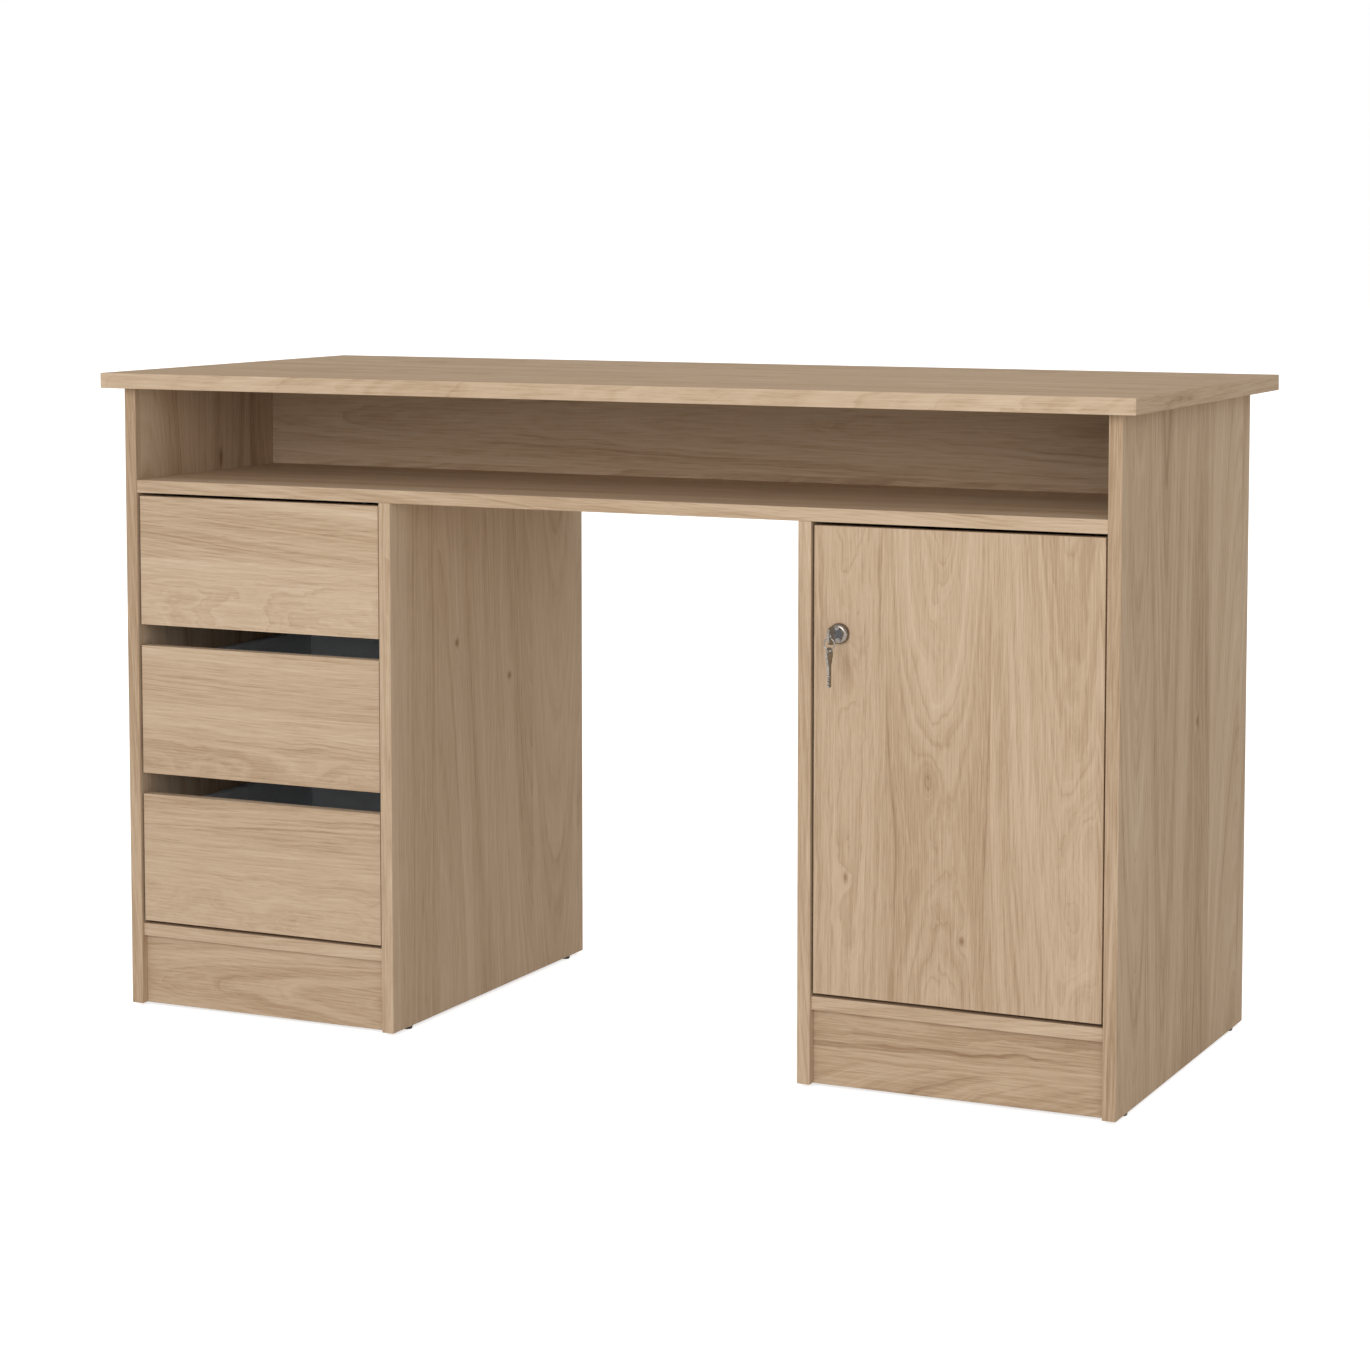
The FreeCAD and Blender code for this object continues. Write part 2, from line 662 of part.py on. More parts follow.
def runners():
    """Rails and rollers of the three drawers. Returns the screws that hold the rails to the uprights."""
    screws, cabinet_rails = [], []
    rail_middle = "(rail_front + rail_rear) / 2"
    screw_places = ("rail_front + rail_screw_inset", rail_middle, "rail_rear - rail_screw_inset")
    for level in LEVELS:
        drawer_rails, cabinet_rollers, drawer_rollers = [], [], []
        for upright, wall, inward in BAY_WALLS.values():
            rail = cabinet_rail(level, wall, inward)
            drilled = []
            for y in screw_places:
                start = (wall, y, f"{level}_side_low + axle_rise")
                seat = shift(start, f"{inward}x", "rail_sheet")
                screws.append(screw(seat, flip(f"{inward}x"), [upright]))
                depth = "rail_sheet + overrun"
                drilled.append(cylinder("screw_radius + fit_gap", depth, start, f"{inward}x"))
            cabinet_rails.append(cut(rail, drilled))
            cabinet_rollers.append(roller(level, wall, inward, "cabinet_axle"))
            drawer_rails.append(drawer_rail(level, wall, inward))
            drawer_rollers.append(roller(level, wall, inward, "drawer_axle"))
        publish(f"{level}_drawer_rails", cut(group(drawer_rails), holes.pop(f"{level}_drawer_rails")))
        publish(f"{level}_cabinet_rollers", group(cabinet_rollers))
        publish(f"{level}_drawer_rollers", group(drawer_rollers))
    publish("cabinet_rails", group(cabinet_rails))
    return screws


def drawer(level):
    """One drawer: a front, two sides, a back, a thin bottom in grooves, and what fastens them."""
    name = f"{level}_drawer"
    fasteners = []
    side_low, side_high, groove = f"{level}_side_low", f"{level}_side_high", f"{level}_groove"
    groove_top = f"{groove} + drawer_bottom_thick"
    inner = "(runner_space + drawer_board)"
    box_left, box_right = f"-outer_inside + {inner}", f"-bay_inside - {inner}"
    slot_low = (
        f"{box_left} - drawer_groove_depth",
        "front_inside - drawer_groove_depth",
        f"{groove} - fit_gap",
    )
    slot_high = (f"{box_right} + drawer_groove_depth", "drawer_rear + overrun", f"{groove_top} + fit_gap")
    for side, (upright, wall, inward) in BAY_WALLS.items():
        node = f"{name}_{side}_side"
        side_x = across(wall, inward, "runner_space", inner)
        side_middle = f"{wall} {inward} (runner_space + drawer_board / 2)"
        for z in (f"{groove_top} + drawer_cam_inset", f"{side_high} - drawer_cam_inset"):
            at = (side_middle, "front_inside", z)
            fasteners += cam_joint(DRAWER_CAM, f"{name}_front", node, at, "+y", f"{inward}x")
            back_at = (f"{wall} {inward} (runner_space + screw_head)", "drawer_rear - drawer_board / 2", z)
            length = "drawer_board + screw_length"
            fasteners.append(screw(back_at, f"{inward}x", [f"{name}_back", node], length))
            sink_at = shift(back_at, flip(f"{inward}x"), "screw_head + overrun")
            sink_depth = "screw_head + overrun"
            drill(node, cylinder("screw_head_radius + fit_gap", sink_depth, sink_at, f"{inward}x"))
        for y in ("front_inside + rail_screw_inset", "drawer_rear - rail_screw_inset"):
            at = (side_middle, y, f"{side_low} - rail_sheet")
            fasteners.append(screw(at, "+z", [node, f"{name}_rails"]))
        drill(node, span(slot_low, slot_high))
        low, high = (side_x[0], "front_inside", side_low), (side_x[1], "drawer_rear", side_high)
        publish(node, board(node, low, high))
    for x in (f"{box_left} + rail_screw_inset", f"{box_right} - rail_screw_inset"):
        at = (x, "drawer_rear - drawer_board / 2", groove)
        fasteners.append(screw(at, "+z", [f"{name}_back", f"{name}_bottom"]))
    drill(f"{name}_front", span(slot_low, slot_high))
    front_low = ("-outer_inside + front_side_gap", "front_face", f"{level}_low")
    front_high = ("-bay_inside - front_side_gap", "front_inside", f"{level}_low + drawer_front_height")
    publish(f"{name}_front", board(f"{name}_front", front_low, front_high))
    back_low = (box_left, "drawer_rear - drawer_board", groove_top)
    publish(f"{name}_back", board(f"{name}_back", back_low, (box_right, "drawer_rear", side_high)))
    bottom_low = (
        f"{box_left} - drawer_groove_depth + fit_gap",
        "front_inside - drawer_groove_depth + fit_gap",
        groove,
    )
    bottom_high = (f"{box_right} + drawer_groove_depth - fit_gap", "drawer_rear", groove_top)
    publish(f"{name}_bottom", span(bottom_low, bottom_high))
    publish(f"{name}_fasteners", group(fasteners))


def hinge_block(near, far, front, rear, height, half):
    """A block between two distances in from the door's hinged edge and two behind its front face."""
    low = (f"hinge_edge - ({far})", f"front_face + ({front})", f"{height} - ({half})")
    high = (f"hinge_edge - ({near})", f"front_face + ({rear})", f"{height} + ({half})")
    return span(low, high)


def hinge_cup(height):
    """A cup let into the door's back, with the ears that hold the hinge pin."""
    centre = ("hinge_cup_centre", "front_inside - hinge_cup_depth", height)
    bore_at = shift(centre, "-y", "fit_gap")
    bore_depth = "hinge_cup_depth + fit_gap + overrun"
    drill("door_panel", cylinder("hinge_cup_radius + fit_gap", bore_depth, bore_at, "+y"))
    well = cylinder("hinge_cup_radius", "hinge_cup_depth + hinge_flange", centre, "+y")
    lip_at = ("hinge_cup_centre", "front_inside", height)
    lip = cylinder("hinge_cup_radius + hinge_lip", "hinge_flange", lip_at, "+y")
    cup_middle = "hinge_cup_edge + hinge_cup_radius"
    near, far = f"{cup_middle} - hinge_flange_width / 2", f"{cup_middle} + hinge_flange_width / 2"
    flange = hinge_block(near, far, "board", "board + hinge_flange", height, "hinge_flange_half")
    hollow_at = shift(centre, "+y", "hinge_cup_floor")
    hollow_depth = "hinge_cup_depth + hinge_flange"
    hollow = cylinder("hinge_cup_radius - hinge_cup_wall", hollow_depth, hollow_at, "+y")
    pin_at = ("hinge_axis", "hinge_pin_back", f"{height} - hinge_cup_radius")
    ears = cylinder("hinge_pin_radius + running_gap", "2 * hinge_cup_radius", pin_at)
    return cut(fuse([well, lip, flange]), [hollow, ears] + holes.pop(f"cup_at_{height}"))


def hinge_arm(height):
    """The fixed arm: an eye on the cup's pin, a rise out of the cup, a crank and a strip on its plate."""
    half = "hinge_arm_half"
    eye_at = ("hinge_axis", "hinge_pin_back", f"{height} - {half}")
    eye = cylinder("hinge_eye_radius", f"2 * {half}", eye_at)
    pin_at = ("hinge_axis", "hinge_pin_back", f"{height} - hinge_pin_half")
    pin = cylinder("hinge_pin_radius", "2 * hinge_pin_half", pin_at)
    front = "hinge_pin_depth - hinge_arm_sheet / 2"
    rise_far = "hinge_arm_rise_inset + hinge_arm_sheet"
    cross_rear = "hinge_arm_cross_depth + hinge_arm_sheet"
    on_plate = "hinge_plate_sheet - front_side_gap"
    finger = hinge_block("hinge_pin_inset", rise_far, front, f"{front} + hinge_arm_sheet", height, half)
    rise = hinge_block("hinge_arm_rise_inset", rise_far, front, cross_rear, height, half)
    crank = hinge_block(on_plate, rise_far, "hinge_arm_cross_depth", cross_rear, height, half)
    strip_far = f"{on_plate} + hinge_arm_sheet"
    strip = hinge_block(on_plate, strip_far, "hinge_arm_cross_depth", "hinge_arm_end", height, half)
    return cut(fuse([eye, pin, finger, rise, crank, strip]), holes.pop(f"arm_at_{height}"))


def hinge_plate(height):
    """The plate on the upright that carries the arm."""
    front, rear = "hinge_plate_front", "hinge_plate_front + hinge_plate_width"
    near, far = "-front_side_gap", "hinge_plate_sheet - front_side_gap"
    plate = hinge_block(near, far, front, rear, height, "hinge_plate_half")
    return cut(plate, holes.pop(f"plate_at_{height}"))


def hinges():
    """Two cup hinges. Returns the screws in the upright."""
    screws, cup_screws = [], []
    heights = ("lower_hinge", "upper_hinge")
    for height in heights:
        for sign in ("-", "+"):
            plate_z = f"{height} {sign} hinge_plate_screw_spacing / 2"
            at = ("outer_inside - hinge_plate_sheet", "front_face + hinge_plate_screw_depth", plate_z)
            screws.append(screw(at, "+x", ["right_outer_panel", f"plate_at_{height}"]))
            cup_z = f"{height} {sign} hinge_cup_screw_spacing / 2"
            at = ("hinge_cup_centre", "front_inside + hinge_flange", cup_z)
            cup_screws.append(screw(at, "-y", ["door_panel", f"cup_at_{height}"]))
        arm_x = "outer_inside - hinge_plate_sheet - hinge_arm_sheet"
        at = (arm_x, "front_face + hinge_arm_screw_depth", height)
        seats = ["right_outer_panel", f"plate_at_{height}", f"arm_at_{height}"]
        screws.append(screw(at, "+x", seats, "hinge_arm_screw_length"))
    publish("hinge_cups", group([hinge_cup(height) for height in heights]))
    publish("hinge_arms", group([hinge_arm(height) for height in heights]))
    publish("hinge_plates", group([hinge_plate(height) for height in heights]))
    publish("hinge_cup_screws", group(cup_screws))
    return screws


def rosette():
    """The lock's round front with a domed edge, revolved about the lock's axis."""
    body = doc.addObject("PartDesign::Body", "rosette_body")
    disc = body.newObject("PartDesign::AdditiveCylinder", "rosette_disc")
    disc.setExpression("Radius", full("rosette_radius"))
    disc.setExpression("Height", full("rosette_proud"))
    doc.recompute()
    faces_front = [edge.BoundBox.ZMin > disc.Height.Value / 2 for edge in disc.Shape.Edges]
    dome = body.newObject("PartDesign::Fillet", "rosette_dome")
    dome.Base = (disc, [f"Edge{faces_front.index(True) + 1}"])
    dome.setExpression("Radius", full("rosette_round"))
    body.Placement = FreeCAD.Placement(FreeCAD.Vector(), TURNS["-y"])
    return bind(body, {}, ("lock_axis", "front_face", "lock_height"))


def lock():
    """The cam lock in the door: housing, turning plug and tongue. Returns the strike's screws."""
    axis_at = ("lock_axis", "rosette_front", "lock_height")
    door_at = ("lock_axis", "front_face", "lock_height")
    through = "rosette_proud + board + barrel_behind"
    drill("door_panel", cylinder("barrel_radius + fit_gap", "board", door_at, "+y"))
    barrel = cylinder("barrel_radius", "board + barrel_behind", door_at, "+y")
    bore = cylinder("plug_radius + running_gap", through, axis_at, "+y")
    publish("lock_housing", cut(fuse([rosette(), barrel]), [bore]))
    plug = cylinder("plug_radius", f"{through} + slide_gap", axis_at, "+y")
    slot_start = shift(axis_at, "-y", "overrun")
    slot_end = shift(axis_at, "+y", "key_blade_length + key_slot_gap")
    slot_halves = ("key_sheet / 2 + fit_gap", "key_blade_half + fit_gap")
    publish("lock_plug", cut(plug, [bar(slot_start, slot_end, "+y", slot_halves)]))
    tongue_at = ("lock_axis", "tongue_front", "lock_height")
    hub = cylinder("tongue_hub_radius", "tongue_sheet", tongue_at, "+y")
    tongue_low = ("lock_axis - tongue_half", "tongue_front", "lock_height - tongue_length")
    tongue_high = ("lock_axis + tongue_half", "tongue_front + tongue_sheet", "lock_height")
    publish("lock_cam", fuse([hub, span(tongue_low, tongue_high)]))
    return strike()


def strike():
    """The angle on the inner upright that the turned tongue lies behind. Returns its screws."""
    low, high = "lock_height - strike_half", "lock_height + strike_half"
    leg_end = ("bay_inside + strike_sheet", "strike_front + strike_depth", high)
    leg = span(("bay_inside", "strike_front", low), leg_end)
    lip_end = ("bay_inside + strike_reach", "strike_front + strike_sheet", high)
    lip = span(("bay_inside", "strike_front", low), lip_end)
    screws = []
    for sign in ("-", "+"):
        z = f"lock_height {sign} strike_screw_spacing / 2"
        at = ("bay_inside + strike_sheet", "strike_front + strike_screw_depth", z)
        screws.append(screw(at, "-x", ["right_inner_panel", "lock_strike"]))
    publish("lock_strike", fuse([leg, lip]))
    return screws


def keys():
    """The key in the lock, the ring through its bow and the spare key that hangs from the ring."""
    flat = "lock_axis - key_sheet / 2"
    bow_at = (flat, "key_bow_front", "lock_height")
    bow = cylinder("key_bow_radius", "key_sheet", bow_at, "+x")
    halves = ("key_sheet / 2", "key_neck_half")
    neck_start = ("lock_axis", "key_bow_front", "lock_height")
    neck = bar(neck_start, ("lock_axis", "rosette_front", "lock_height"), "+y", halves)
    blade_start = ("lock_axis", "key_bow_front", "lock_height")
    blade_end = ("lock_axis", "rosette_front + key_blade_length", "lock_height")
    blade = bar(blade_start, blade_end, "+y", ("key_sheet / 2", "key_blade_half"))
    eye = cylinder("key_hole_radius", "key_sheet", (flat, "key_hole_front", "lock_height"), "+x")
    notches = []
    for count in (1, 2, 3):
        at = (flat, f"rosette_front + {count} * key_notch_pitch", "lock_height + key_blade_half")
        notches.append(cylinder("key_notch_radius", "key_sheet", at, "+x"))
    publish("key", cut(fuse([bow, neck, blade]), [eye] + notches))
    ring = doc.addObject("Part::Torus", "ring")
    ring.Placement = FreeCAD.Placement(FreeCAD.Vector(), TURNS["+y"])
    ring_at = ("lock_axis", "key_hole_front", "ring_centre")
    publish("key_ring", bind(ring, {"Radius1": "ring_radius", "Radius2": "ring_wire"}, ring_at))
    spare_at = (flat, "key_hole_front", "spare_bow")
    spare_bow = cylinder("spare_bow_radius", "key_sheet", spare_at, "+x")
    shoulder_at = shift(spare_at, "-z", "spare_shoulder_drop")
    shoulder = cylinder("spare_shoulder_radius", "key_sheet", shoulder_at, "+x")
    spare_start = ("lock_axis", "key_hole_front", "spare_bow")
    spare_reach = "spare_shoulder_drop + spare_shoulder_radius + spare_blade_length"
    spare_end = shift(spare_start, "-z", spare_reach)
    spare_blade = bar(spare_start, spare_end, "-z", ("key_sheet / 2", "key_blade_half"))
    spare_eye = cylinder("key_hole_radius", "key_sheet", (flat, "key_hole_front", "spare_hole"), "+x")
    spare_notches = []
    for count in (1, 2, 3):
        at = (flat, "key_hole_front - key_blade_half", f"{spare_end[2]} + {count} * key_notch_pitch")
        spare_notches.append(cylinder("key_notch_radius", "key_sheet", at, "+x"))
    publish("spare_key", cut(fuse([spare_bow, shoulder, spare_blade]), [spare_eye] + spare_notches))


def carcass_boards():
    """Worktop, uprights, shelf, compartment back, bottoms and plinths, drilled for all that they carry."""
    half_top = "top_width / 2"
    top_low = (f"-{half_top}", "-top_depth / 2", "top_under")
    publish("tabletop", board("tabletop", top_low, (half_top, "top_depth / 2", "desk_height")))
    uprights = {
        "left_outer_panel": ("-outer_face", "-outer_inside", "top_under"),
        "left_inner_panel": ("-bay_inside", "-knee_face", "long_shelf_under"),
        "right_inner_panel": ("knee_face", "bay_inside", "long_shelf_under"),
        "right_outer_panel": ("outer_inside", "outer_face", "top_under"),
    }
    for node, (low_x, high_x, high_z) in uprights.items():
        low, high = (low_x, "panel_front", "foot_height"), (high_x, "panel_rear", high_z)
        publish(node, board(node, low, high))
    shelf_low = ("-outer_inside", "panel_front + long_shelf_setback", "long_shelf_under")
    shelf_high = ("outer_inside", "panel_rear", "long_shelf_top")
    publish("compartment_shelf", board("compartment_shelf", shelf_low, shelf_high))
    back_low = ("-outer_inside", "divider_front", "long_shelf_top")
    back_high = ("outer_inside", "divider_rear", "top_under")
    publish("compartment_back", board("compartment_back", back_low, back_high))
    for side, unit in UNITS.items():
        low_x, high_x = unit_span(side)
        base_low = (low_x, "panel_front + base_setback", "base_under")
        publish(f"{unit}_bottom", board(f"{unit}_bottom", base_low, (high_x, "back_front", "base_top")))
        plinth_high = (high_x, "plinth_front + board", "base_under")
        plinth = board(f"{unit}_plinth", (low_x, "plinth_front", "foot_height"), plinth_high)
        publish(f"{unit}_plinth", plinth)


def door_panel():
    low = ("bay_inside + front_side_gap", "front_face", "door_low")
    publish("door_panel", board("door_panel", low, ("hinge_edge", "front_inside", "door_high")))


def write_parts():
    """Checks every object and every finished piece, then writes one file for each node."""
    doc.recompute()
    failed = [item.Name for item in doc.Objects if {"Invalid", "Error"} & set(item.State)]
    failed += [item.Label for item in nodes if item.Shape.isNull() or not item.Shape.isValid()]
    if failed or holes:
        raise RuntimeError(f"not built: {failed}, not cut: {list(holes)}")
    os.makedirs("parts", exist_ok=True)
    for item in nodes:
        item.Shape.exportStep(f"parts/{item.Label}.step")
    print(len(nodes), "nodes,", sum(len(item.Shape.Solids) for item in nodes), "solids")


make_sheet()
carcass_fittings()
back_boards()
glide_feet()
cupboard_shelf()
for level in LEVELS:
    drawer(level)
screws = runners() + hinges() + lock()
publish("carcass_screws", group(screws))
keys()
carcass_boards()
door_panel()
write_parts()
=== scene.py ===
import json
import math
from collections import namedtuple

import bpy
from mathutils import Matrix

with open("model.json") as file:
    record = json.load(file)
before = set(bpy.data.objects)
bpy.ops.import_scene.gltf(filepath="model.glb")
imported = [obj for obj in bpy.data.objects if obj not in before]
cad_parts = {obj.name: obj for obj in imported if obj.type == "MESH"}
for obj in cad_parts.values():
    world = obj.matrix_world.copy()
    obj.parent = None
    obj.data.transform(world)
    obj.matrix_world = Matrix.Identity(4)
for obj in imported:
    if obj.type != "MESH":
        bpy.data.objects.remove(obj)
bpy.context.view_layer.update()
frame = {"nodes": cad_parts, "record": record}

# An office desk of faced boards with a printed oak decor, in a plain white studio.
# Lengths are in metres and places are in the part's own frame, so that every material follows its body.

# Camera, fitted to the corners of the desk in the photograph, with angles in degrees
PHOTO_WIDTH = 1370
FOCAL_PIXELS = 3272.14
SENSOR = 36.0
CAMERA_PLACE = (1.63509, -3.46564, 0.94253)
CAMERA_DOWN = 4.58
CAMERA_YAW = 25.28
CAMERA_SHIFT = -0.15
LEVEL = 90.0

# Light: an even white surround, a large soft lamp in front and a weaker one to the right
WHITE = (1.0, 1.0, 1.0, 1.0)
SURROUND_STRENGTH = 0.68
LAMP_AIM = (0.0, -0.2, 0.4)
Lamp = namedtuple("Lamp", "name place size power")
LAMPS = (
    Lamp("front_lamp", (0.2, -4.5, 2.1), 2.6, 72.0),
    Lamp("right_lamp", (2.6, -4.0, 1.1), 2.4, 20.0),
)
FLOOR_SIZE = 60.0
FLOOR_COLOUR = (0.82, 0.82, 0.81, 1.0)
FLOOR_GLOW = 0.72

# The standard curve from colours on screen to linear values
SCREEN_FULL = 255
SCREEN_KNEE = 0.04045
SCREEN_SLOPE = 12.92
SCREEN_OFFSET = 0.055
SCREEN_POWER = 2.4

# The mean of a noise or of a random number, and half of a stave
HALF = 0.5


class Field:
    """A value that varies over a surface, so that shader arithmetic reads like plain arithmetic."""

    def __init__(self, tree, socket):
        self.tree = tree
        self.socket = socket

    def do(self, operation, *others):
        node = self.tree.nodes.new("ShaderNodeMath")
        node.operation = operation
        for place, value in zip(node.inputs, (self, *others)):
            feed(self.tree, place, value)
        return Field(self.tree, node.outputs[0])

    def __add__(self, other):
        return self.do("ADD", other)

    def __sub__(self, other):
        return self.do("SUBTRACT", other)

    def __mul__(self, other):
        return self.do("MULTIPLY", other)

    def __truediv__(self, other):
        return self.do("DIVIDE", other)

    def ramped(self, low, high):
        """0 below low, 1 above high, and smooth between."""
        node = self.tree.nodes.new("ShaderNodeMapRange")
        node.interpolation_type = "SMOOTHSTEP"
        feed(self.tree, node.inputs["Value"], self)
        node.inputs["From Min"].default_value = low
        node.inputs["From Max"].default_value = high
        return Field(self.tree, node.outputs["Result"])


def feed(tree, socket, value):
    """Links a field to a socket, or sets a plain value on it."""
    if isinstance(value, Field):
        tree.links.new(value.socket, socket)
    else:
        socket.default_value = value


def start_material(name):
    """A new material with its node tree and its shader."""
    material = bpy.data.materials.new(name)
    material.use_nodes = True
    tree = material.node_tree
    return material, tree, tree.nodes["Principled BSDF"]


def linear(colour):
    """A colour as it is seen on screen, from 0 to 255, turned into the shader's linear values."""
    parts = []
    for part in colour:
        share = part / SCREEN_FULL
        if share <= SCREEN_KNEE:
            parts.append(share / SCREEN_SLOPE)
        else:
            parts.append(((share + SCREEN_OFFSET) / (1.0 + SCREEN_OFFSET)) ** SCREEN_POWER)
    return (*parts, 1.0)


def split(tree, output):
    """The three numbers of a vector, by axis."""
    node = tree.nodes.new("ShaderNodeSeparateXYZ")
    tree.links.new(output, node.inputs[0])
    return {axis: Field(tree, node.outputs[axis]) for axis in "XYZ"}


def surface(tree, kind):
    """Where a point of the surface lies on its body, for Object, or which way it faces, for Normal."""
    node = tree.nodes.new("ShaderNodeTexCoord")
    return split(tree, node.outputs[kind])


def noise(tree, point, octaves=2.0, gain=0.5):
    """Smooth noise about one half, at a point that the caller has scaled."""
    joined = tree.nodes.new("ShaderNodeCombineXYZ")
    for place, value in zip(joined.inputs, point):
        feed(tree, place, value)
    node = tree.nodes.new("ShaderNodeTexNoise")
    tree.links.new(joined.outputs[0], node.inputs["Vector"])
    node.inputs["Scale"].default_value = 1.0
    node.inputs["Detail"].default_value = octaves
    node.inputs["Roughness"].default_value = gain
    return Field(tree, node.outputs["Fac"])


def chance(tree, value):
    """Three random numbers from 0 to 1 for each whole number."""
    node = tree.nodes.new("ShaderNodeTexWhiteNoise")
    node.noise_dimensions = "1D"
    feed(tree, node.inputs["W"], value)
    return list(split(tree, node.outputs["Color"]).values())


def paint(tree, shader, value, stops):
    """Colours the shader by a value, through the colours between some stops."""
    node = tree.nodes.new("ShaderNodeValToRGB")
    feed(tree, node.inputs["Fac"], value)
    elements = node.color_ramp.elements
    while len(elements) < len(stops):
        elements.new(1.0)
    for element, (place, colour) in zip(elements, stops):
        element.position = place
        element.color = linear(colour)
    tree.links.new(node.outputs["Color"], shader.inputs["Base Color"])


def emboss(tree, shader, height, depth, strength):
    """Gives the shader a bump from a height of 0 to 1, which stands for a depth in metres."""
    node = tree.nodes.new("ShaderNodeBump")
    feed(tree, node.inputs["Height"], height)
    node.inputs["Distance"].default_value = depth
    node.inputs["Strength"].default_value = strength
    tree.links.new(node.outputs["Normal"], shader.inputs["Normal"])


# Oak boards

# The axis along the grain, the one across it on the board's face, and the one through the board
LYING = ("X", "Y", "Z")
UPRIGHT = ("Z", "Y", "X")
FACING = ("X", "Z", "Y")
DOOR = ("Z", "X", "Y")

# A place where the rings close into an eye: where it is along and across the grain, its half length and
# half width, how far it lifts the rings, and how dark its core is
Eye = namedtuple("Eye", "along across length width lift core")
# A board: its axes, its own random start, where the tree's heart lies across the grain in its main stave,
# how fast the rings there run out along the grain, how curly its grain is, how much lighter its faces are
# painted, as painted light on faces that lie in shade and painted shade on faces that should catch less light,
# how much lighter its edge bands are, how strongly broad bands of tone show on it, and its eyes
Board = namedtuple("Board", "axes seed heart taper curl shade band broad eyes", defaults=(0.0, 0.0, 1.0, ()))

BOARDS = {
    # The tabletop's faces get painted shade: darker, since less light falls on the top.
    "tabletop": Board(LYING, 1, -0.10, 0.05, 0.4, shade=-0.07, broad=0.4),
    # The shelf's faces get painted light, inside the shaded compartment.
    "compartment_shelf": Board(LYING, 2, 0.02, -0.05, 0.5, shade=0.14),
    "compartment_back": Board(FACING, 3, 0.700, 0.03, 0.5),
    "left_outer_panel": Board(UPRIGHT, 4, 0.05, 0.07, 0.2, band=-0.12, eyes=(
        Eye(0.647, -0.074, 0.03, 0.010, 0.004, 0.8),
    )),
    # The left inner panel's faces get painted light, in the shaded kneehole.
    "left_inner_panel": Board(UPRIGHT, 5, 0.15, 0.08, 0.2, shade=0.13, eyes=(
        Eye(0.440, -0.101, 0.013, 0.012, 0.006, 0.9),
        Eye(0.385, 0.030, 0.013, 0.012, 0.006, 0.9),
    )),
    "right_inner_panel": Board(UPRIGHT, 6, 0.02, -0.06, 0.2, band=0.10),
    "right_outer_panel": Board(UPRIGHT, 7, -0.10, 0.06, 0.1, band=-0.24, eyes=(
        Eye(0.386, 0.026, 0.014, 0.010, 0.006, 0.9),
    )),
    "drawer_unit_bottom": Board(LYING, 8, 0.0, 0.05, 0.5),
    "cupboard_bottom": Board(LYING, 9, 0.0, -0.05, 0.5),
    "cupboard_shelf": Board(LYING, 10, 0.0, 0.05, 0.5),
    # The plinths' faces get painted shade: darker towards the floor.
    "drawer_unit_plinth": Board(FACING, 11, 0.03, 0.06, 0.6, shade=-0.08),
    "cupboard_plinth": Board(FACING, 12, -0.026, 0.2, 0.6, shade=-0.10),
    "top_drawer_front": Board(FACING, 23, 0.482, 0.01, 1.3, eyes=(
        Eye(-0.454, 0.478, 0.048, 0.020, 0.012, 0.0),
    )),
    "middle_drawer_front": Board(FACING, 14, 0.298, -0.02, 1.2, eyes=(
        Eye(-0.380, 0.300, 0.050, 0.016, 0.008, 0.0),
    )),
    "bottom_drawer_front": Board(FACING, 15, 0.125, -0.02, 1.2, eyes=(
        Eye(-0.585, 0.130, 0.030, 0.014, 0.010, 0.0),
    )),
    "door_panel": Board(DOOR, 16, 0.413, 0.01, 1.0, eyes=(
        Eye(0.288, 0.413, 0.220, 0.046, 0.032, 0.0),
        Eye(0.348, 0.403, 0.026, 0.010, 0.014, 0.10),
        Eye(0.235, 0.308, 0.016, 0.007, 0.006, 0.8),
        Eye(0.178, 0.441, 0.013, 0.008, 0.005, 0.6),
        Eye(0.290, 0.574, 0.060, 0.019, 0.014, 0.0),
        Eye(0.120, 0.572, 0.040, 0.020, 0.014, 0.0),
        Eye(0.463, 0.311, 0.05, 0.014, 0.008, 0.3),
    )),
}

# What counts as facing along an axis, and how far an edge band's figure lies from the face's
SQUARE_ON = 0.7
BAND_SHIFT = 0.37

# Staves: their width, the spread of their random numbers, and how far their hearts, in stave widths, their
# run-outs and their tones scatter
STAVE_WIDTH = 0.118
BOARD_STEP = 17.0
BOARD_SPREAD = 3.7
STAVE_SPREAD = 40.0
HEART_SCATTER = 1.6
HEART_LEAST_DEPTH = 0.02
HEART_DEPTH_RANGE = 0.05
TAPER_RANGE = 0.22
STAVE_TONE_RANGE = 0.10

# Layers of noise in the oak: how often one repeats in a metre along the grain and across it, how strongly it
# counts in the tone, its own start, its octaves, and how much each counts against the one before
Layer = namedtuple("Layer", "along across weight start octaves gain", defaults=(0.0, 2.0, 0.5))
BROAD = Layer(0.9, 42.0, 0.7)
BANDS = Layer(1.6, 190.0, 0.32)
LINES = Layer(3.0, 460.0, 0.46, start=13.0, octaves=3.0)
DASHES = Layer(20.0, 520.0, 0.66, octaves=3.0, gain=0.6)
FIBRES = Layer(9.0, 900.0, 0.42, octaves=3.0)
STREAKS = Layer(1.4, 120.0, 0.20, start=21.0)
STREAKS_RAMP = (0.66, 0.74)
PORES = Layer(55.0, 1500.0, 0.12, octaves=1.0)
PORES_RAMP = (0.60, 0.72)

# Layers that bend the grain, whose weight is a length
WANDER = Layer(1.3, 7.0, 0.034)
RIPPLE = Layer(17.0, 34.0, 0.016, start=5.0, octaves=3.0)

